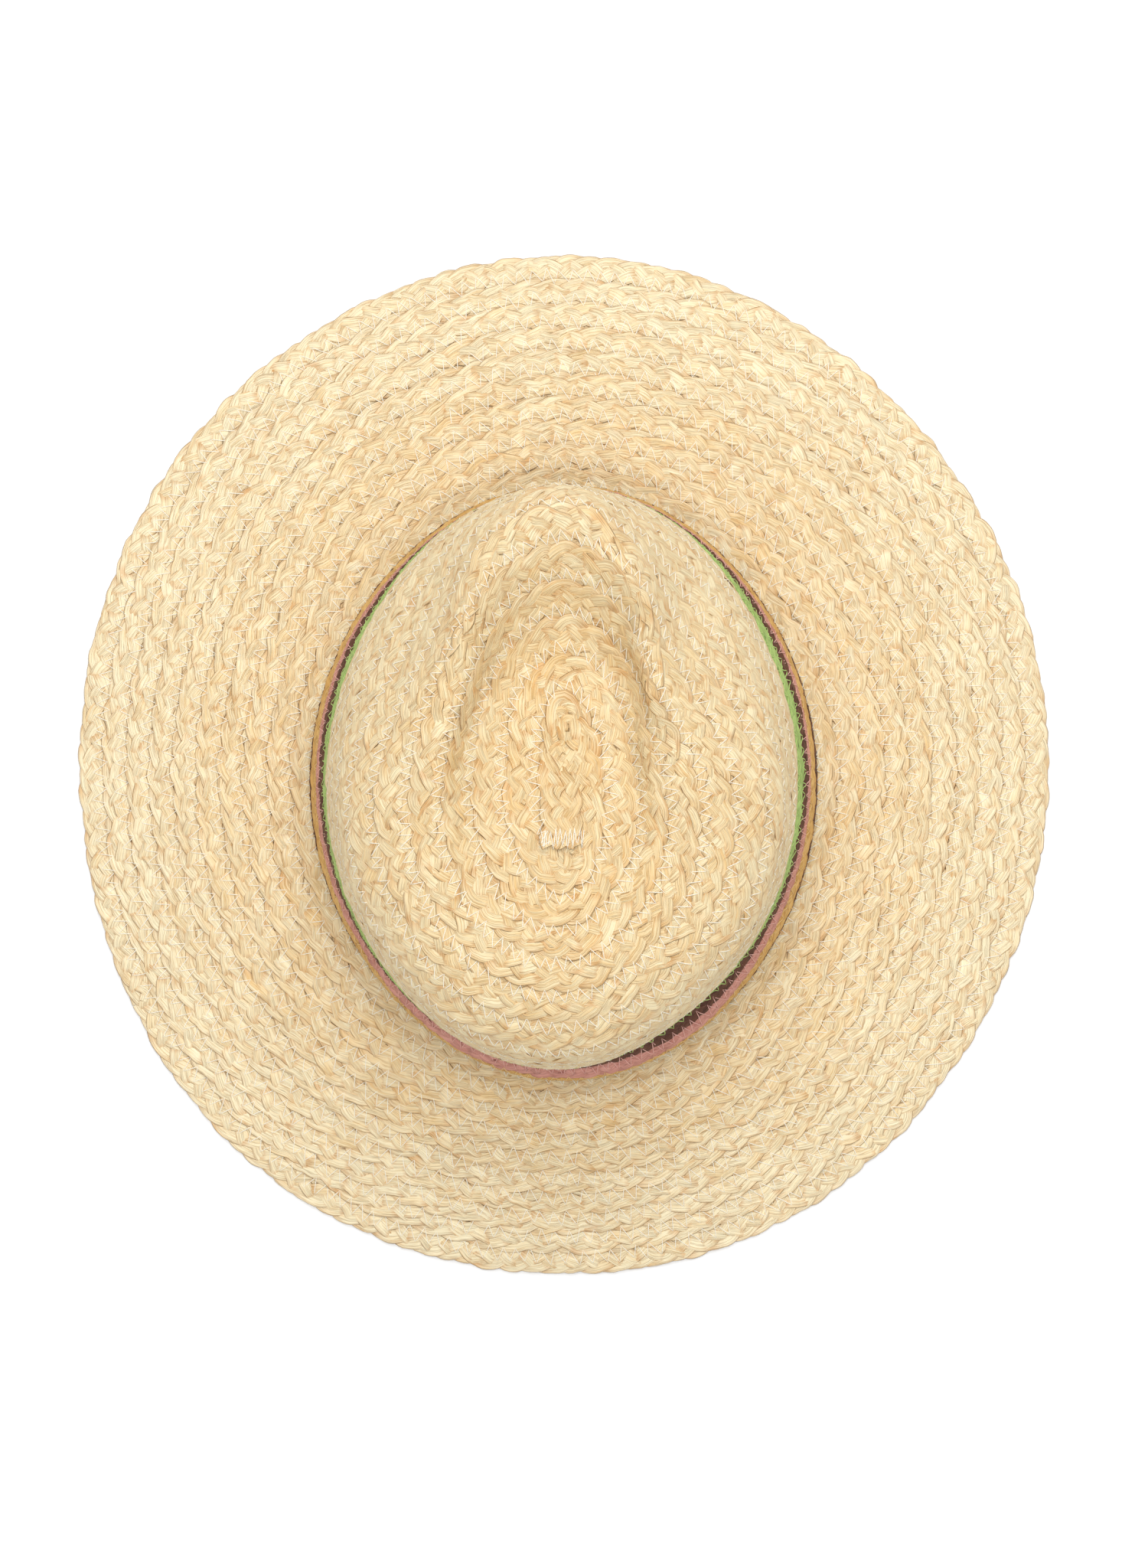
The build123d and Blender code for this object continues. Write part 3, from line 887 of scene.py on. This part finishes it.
def seam_piece(name, seams, stitch, material, seed):
    """All the given seams, each (turns, stations of the edge), sewn on both sides, as one piece.
    stitch is the length of one zigzag and how far it reaches from the edge."""
    rng = np.random.default_rng(seed)
    strips = [zigzag(turn, edge, side, stitch, rng) for turn, edge in seams for side in (1, -1)]
    angle = np.arange(THREAD_SIDES) * 2 * math.pi / THREAD_SIDES
    section = THREAD_RADIUS * np.stack([np.cos(angle), np.sin(angle)], axis=-1)
    piece = tubes(name, strips, girth_of(section), stitch[1] * 2 / LEG_PARTS, material)
    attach(piece, "root")
    return piece


def level_seam(edge):
    turn = np.linspace(0, 360, 721) + 53.0 * edge
    return turn, np.full(turn.shape, float(edge))


spiral_turns = np.linspace(0.12, SPIRAL_TURNS - 0.3, 3600)
seam_piece("crown_seam", [(180 + 360 * spiral_turns, spiral_edge(spiral_turns))], CROWN_STITCH,
           cream_thread, 21)
seam_piece("crown_foot_seam", [level_seam(BAND_STATION)], BAND_STITCHES["band_green"],
           dyed_threads["band_green"], 22)
for k, node in enumerate(list(BAND_LEAN)[1:]):
    seam = level_seam(BAND_STATION + k + 1)
    seam_piece(node + "_seam", [seam], BAND_STITCHES[node], dyed_threads[node], 23 + k)
half_brim = BRIM_STATION + BRIM_ROUNDS // 2
seam_piece("inner_brim_seams", [level_seam(k) for k in range(BRIM_STATION, half_brim)], BRIM_STITCH,
           cream_thread, 31)
seam_piece("outer_brim_seams", [level_seam(k) for k in range(half_brim, EDGE_STATION)], BRIM_STITCH,
           cream_thread, 32)


def start_oversewing():
    """The cut end of the plait at the middle of the tip, whipped over with white thread."""
    rng = np.random.default_rng(41)
    half = CROWN_PLAIT["width"] / 2 - 0.8
    xs = START_X + np.linspace(-half, half, 2 * START_STITCHES) + rng.uniform(-0.3, 0.3, 2 * START_STITCHES)
    ys = START_Y - 2.6 + np.tile([-1.0, 1.0], START_STITCHES) * rng.uniform(2.4, 3.9, 2 * START_STITCHES)
    share = np.arange(LEG_PARTS) / LEG_PARTS
    x = (xs[:-1, None] + np.diff(xs)[:, None] * share).ravel()
    y = (ys[:-1, None] + np.diff(ys)[:, None] * share).ravel()
    points = np.empty((len(x), 3))
    for k in range(len(x)):
        start = Vector((x[k], y[k], TIP_HEIGHT + 12)) * MM
        hit = STRAW_TREE.ray_cast(start, Vector((0, 0, -1)), 0.03)[0]
        points[k] = np.array(hit) / MM if hit else (x[k], y[k], TIP_HEIGHT)
    rise = np.tile(np.where(share == 0, -0.1, 0.3), 2 * START_STITCHES - 1)
    points[:, 2] += rise
    normal = np.tile([0.0, 0.0, 1.0], (len(x), 1))
    angle = np.arange(THREAD_SIDES) * 2 * math.pi / THREAD_SIDES
    section = START_THREAD * np.stack([np.cos(angle), np.sin(angle)], axis=-1)
    strips = [thread_strip(points, normal, START_THREAD)]
    piece = tubes("tip_oversewing", strips, girth_of(section), 0.8, cream_thread)
    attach(piece, "root")


start_oversewing()


# ---- sweatband -----------------------------------------------------------------------------------
def cloth_strip(name, turn, stations, face, thickness, material, ripple=0.0):
    """A thin strip of cloth against the inside of the hat, from the first station to the last."""
    turns, levels = np.meshgrid(turn, stations, indexing="ij")
    middle = straw(turns, levels)
    normal = outward(turns, levels)
    share = (levels - stations[0]) / (stations[-1] - stations[0])
    depth = face + ripple * np.sin(np.radians(turns) * 23 + 2 * np.sin(np.radians(turns) * 5)) * share**2
    outer = middle + normal * depth[..., None]
    inner = outer - normal * thickness
    # One closed section: down the outer face, then up the inner face.
    rings = np.concatenate([outer, inner[:, ::-1]], axis=1)
    along = np.concatenate([[0], np.cumsum(np.linalg.norm(np.diff(middle[:, -1], axis=0), axis=1))])
    drop = np.linalg.norm(np.diff(middle[0], axis=0), axis=1)
    girth = np.concatenate([[0], np.cumsum(np.concatenate([drop, [thickness], drop[::-1], [thickness]]))])
    piece = tubes(name, [(rings, along, {})], girth, along[-1] / (len(along) - 1), material)
    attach(piece, "root")
    return piece, along[-1], drop.sum()


ribbon_levels = np.linspace(RIBBON_STATIONS[0], RIBBON_STATIONS[-1], 13)
ribbon, ribbon_length, ribbon_width = cloth_strip(
    "sweatband_ribbon", np.linspace(180, 540, 481), ribbon_levels, RIBBON_FACE, RIBBON_THICKNESS,
    ribbon_cloth, RIBBON_RIPPLE)
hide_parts("sweatband")
lap = cloth_strip(
    "sweatband_lap", np.linspace(176.5, 183.5, 15), ribbon_levels, RIBBON_INSIDE - 0.1, LAP_THICKNESS,
    ribbon_cloth)[0]
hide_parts("sweatband_join")
tag = cloth_strip(
    "size_tag", np.linspace(173.6, 186.4, 21), np.linspace(12.7, 14.4, 8), RIBBON_INSIDE - 0.8,
    TAG_THICKNESS, label_cloth)[0]
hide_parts("blank_label")

# ---- floor, light and camera ---------------------------------------------------------------------
bpy.ops.mesh.primitive_plane_add(size=6)
floor = bpy.context.object
floor.name = "floor"
paper = bpy.data.materials.new("floor_paper")
paper.use_nodes = True
paper.node_tree.nodes["Principled BSDF"].inputs["Base Color"].default_value = (0.92, 0.92, 0.92, 1)
paper.node_tree.nodes["Principled BSDF"].inputs["Roughness"].default_value = 0.9
floor.data.materials.append(paper)

scene = bpy.context.scene
scene.view_settings.view_transform = "Standard"
world = bpy.data.worlds.new("studio")
scene.world = world
world.use_nodes = True
world.node_tree.nodes["Background"].inputs["Color"].default_value = (1, 1, 1, 1)
world.node_tree.nodes["Background"].inputs["Strength"].default_value = WORLD_LIGHT


def soft_light(name, place, size, power, colour=(1, 1, 1)):
    light = bpy.data.lights.new(name, "AREA")
    light.shape = "SQUARE"
    light.size = size
    light.energy = power
    light.color = colour
    lamp = bpy.data.objects.new(name, light)
    lamp.location = place
    lamp.rotation_euler = (-Vector(place)).to_track_quat("-Z", "Y").to_euler()
    bpy.context.collection.objects.link(lamp)


soft_light("key", (-0.15, -1.45, 1.8), 1.4, KEY_LIGHT)
soft_light("top", (0.0, -0.1, 2.6), 1.2, TOP_LIGHT)

camera_data = bpy.data.cameras.new("camera")
camera_data.sensor_fit = "VERTICAL"
camera_data.sensor_height = 36
camera_data.lens = 36 * (CAMERA_HEIGHT - 0.005) / (VIEW_HEIGHT * MM)
camera = bpy.data.objects.new("camera", camera_data)
camera.location = (CAMERA_X * MM, CAMERA_Y * MM, CAMERA_HEIGHT)
camera.rotation_euler = (0, 0, math.pi)
bpy.context.collection.objects.link(camera)
scene.camera = camera
